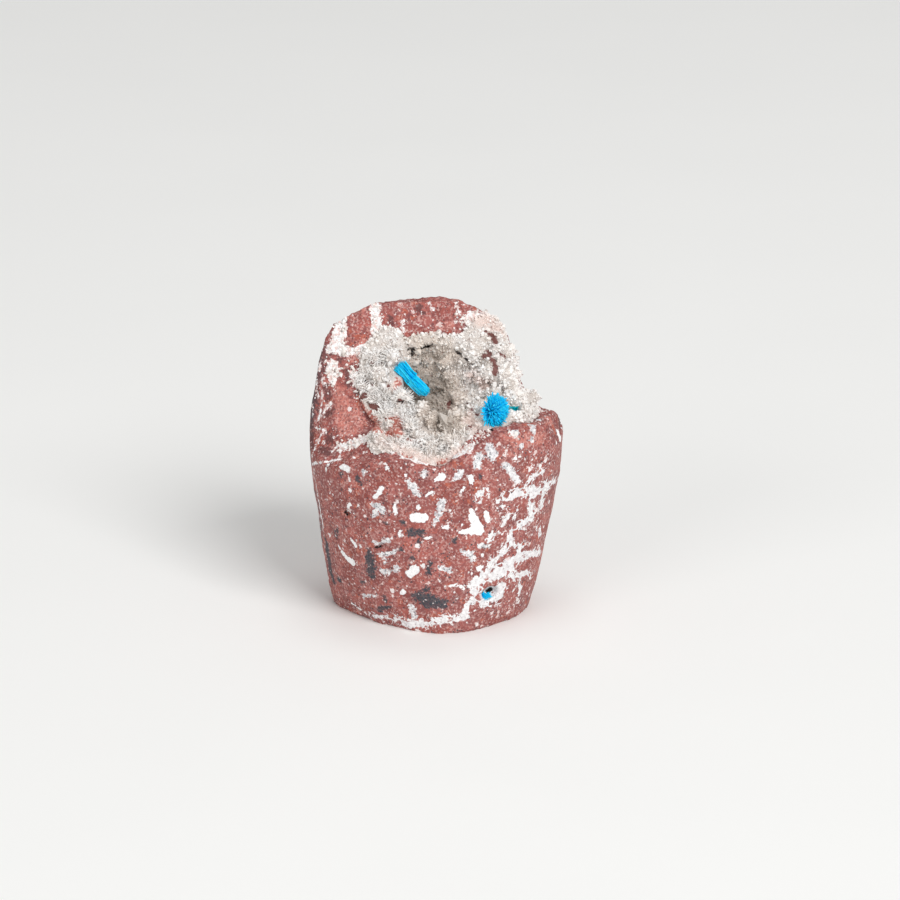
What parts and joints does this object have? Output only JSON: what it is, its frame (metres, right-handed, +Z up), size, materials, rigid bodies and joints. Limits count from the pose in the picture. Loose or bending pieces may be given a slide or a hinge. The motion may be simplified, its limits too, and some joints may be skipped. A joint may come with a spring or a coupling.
{
  "type": "cavansite specimen",
  "caption": "Stump of red zeolite breccia with a sawn wall and a broken, hollowed top lined with white zeolite crystals, carrying blue cavansite sprays; stands on its flat base.",
  "frame": {"origin": "middle of the base's box on the sawn base, z = 0", "axes": "+Z up from the sawn base, +Y away from the viewer, so the hollow looks towards -Y and up"},
  "size_m": [0.0386, 0.033, 0.046],
  "materials": {
    "breccia": "sawn and broken brick-red breccia with white veins and clasts",
    "zeolite": "white to cream drusy zeolite crystals",
    "cavansite": "vivid blue bladed cavansite crystals"
  },
  "bodies": {
    "root": {"matrix": "breccia", "zeolite_crust": "zeolite", "cavansite_sheaf": "cavansite", "cavansite_rosette": "cavansite", "cavansite_sprig": "cavansite", "cavansite_in_pit": "cavansite"}
  },
  "joints": []
}
